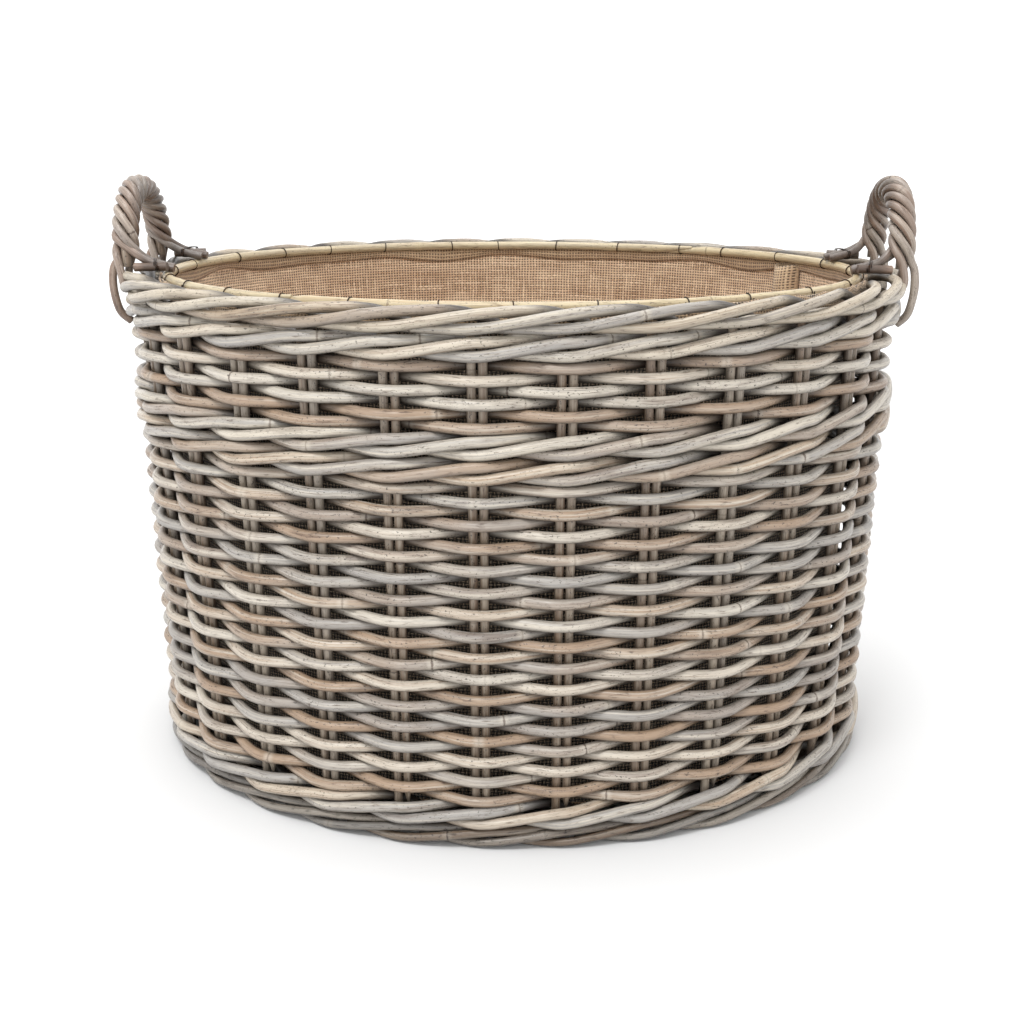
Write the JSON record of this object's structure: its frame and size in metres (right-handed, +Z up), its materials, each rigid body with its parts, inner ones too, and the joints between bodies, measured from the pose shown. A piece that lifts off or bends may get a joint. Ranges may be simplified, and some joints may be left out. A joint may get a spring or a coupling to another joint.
{
  "type": "wicker log basket",
  "caption": "Oval woven cane log basket with a plaited rim and foot, bands of waling, a rope-laid cane handle at each end and a hessian liner.",
  "frame": {"origin": "middle of the foot, on the floor", "axes": "+Z up, +X across the two handles, +Y to the back"},
  "size_m": [0.703, 0.549, 0.5228],
  "materials": {
    "weaver_cane": "weathered grey-beige round cane, satin",
    "wale_cane": "weathered round cane, satin",
    "border_cane": "weathered round cane, satin",
    "stake_cane": "round cane, matt",
    "hoop_cane": "pale cane, satin",
    "flat_cane": "split flat cane, matt",
    "handle_cane": "weathered round cane, satin",
    "hessian": "coarse plain-woven jute",
    "wire": "dark annealed binding wire"
  },
  "bodies": {
    "root": {"foot_hoop": "hoop_cane", "foot_border": "border_cane", "base_sticks": "stake_cane", "base_slats_odd": "flat_cane", "base_slats_even": "flat_cane", "bottom_wale": "wale_cane", "lower_weave_01": "weaver_cane", "lower_weave_02": "weaver_cane", "lower_weave_03": "weaver_cane", "lower_weave_04": "weaver_cane", "lower_weave_05": "weaver_cane", "lower_weave_06": "weaver_cane", "lower_weave_07": "weaver_cane", "lower_weave_08": "weaver_cane", "waist_wale_lower": "wale_cane", "waist_wale_upper": "wale_cane", "upper_weave_01": "weaver_cane", "upper_weave_02": "weaver_cane", "top_wale": "wale_cane", "rim_border": "border_cane", "rim_hoop": "hoop_cane", "rim_ties": "wire", "main_stakes_front": "stake_cane", "main_stakes_right": "stake_cane", "main_stakes_back": "stake_cane", "main_stakes_left": "stake_cane", "bye_stakes_front": "stake_cane", "bye_stakes_right": "stake_cane", "bye_stakes_back": "stake_cane", "bye_stakes_left": "stake_cane", "liner_side": "hessian", "liner_base": "hessian", "liner_hem": "hessian", "liner_pleat": "hessian", "handle_left_core": "handle_cane", "handle_right_core": "handle_cane", "handle_left_strand_1": "handle_cane", "handle_left_strand_2": "handle_cane", "handle_left_strand_3": "handle_cane", "handle_left_strand_4": "handle_cane", "handle_left_strand_5": "handle_cane", "handle_right_strand_1": "handle_cane", "handle_right_strand_2": "handle_cane", "handle_right_strand_3": "handle_cane", "handle_right_strand_4": "handle_cane", "handle_right_strand_5": "handle_cane", "handle_left_pegs": "handle_cane", "handle_right_pegs": "handle_cane", "handle_left_ties": "wire", "handle_right_ties": "wire"}
  },
  "joints": []
}
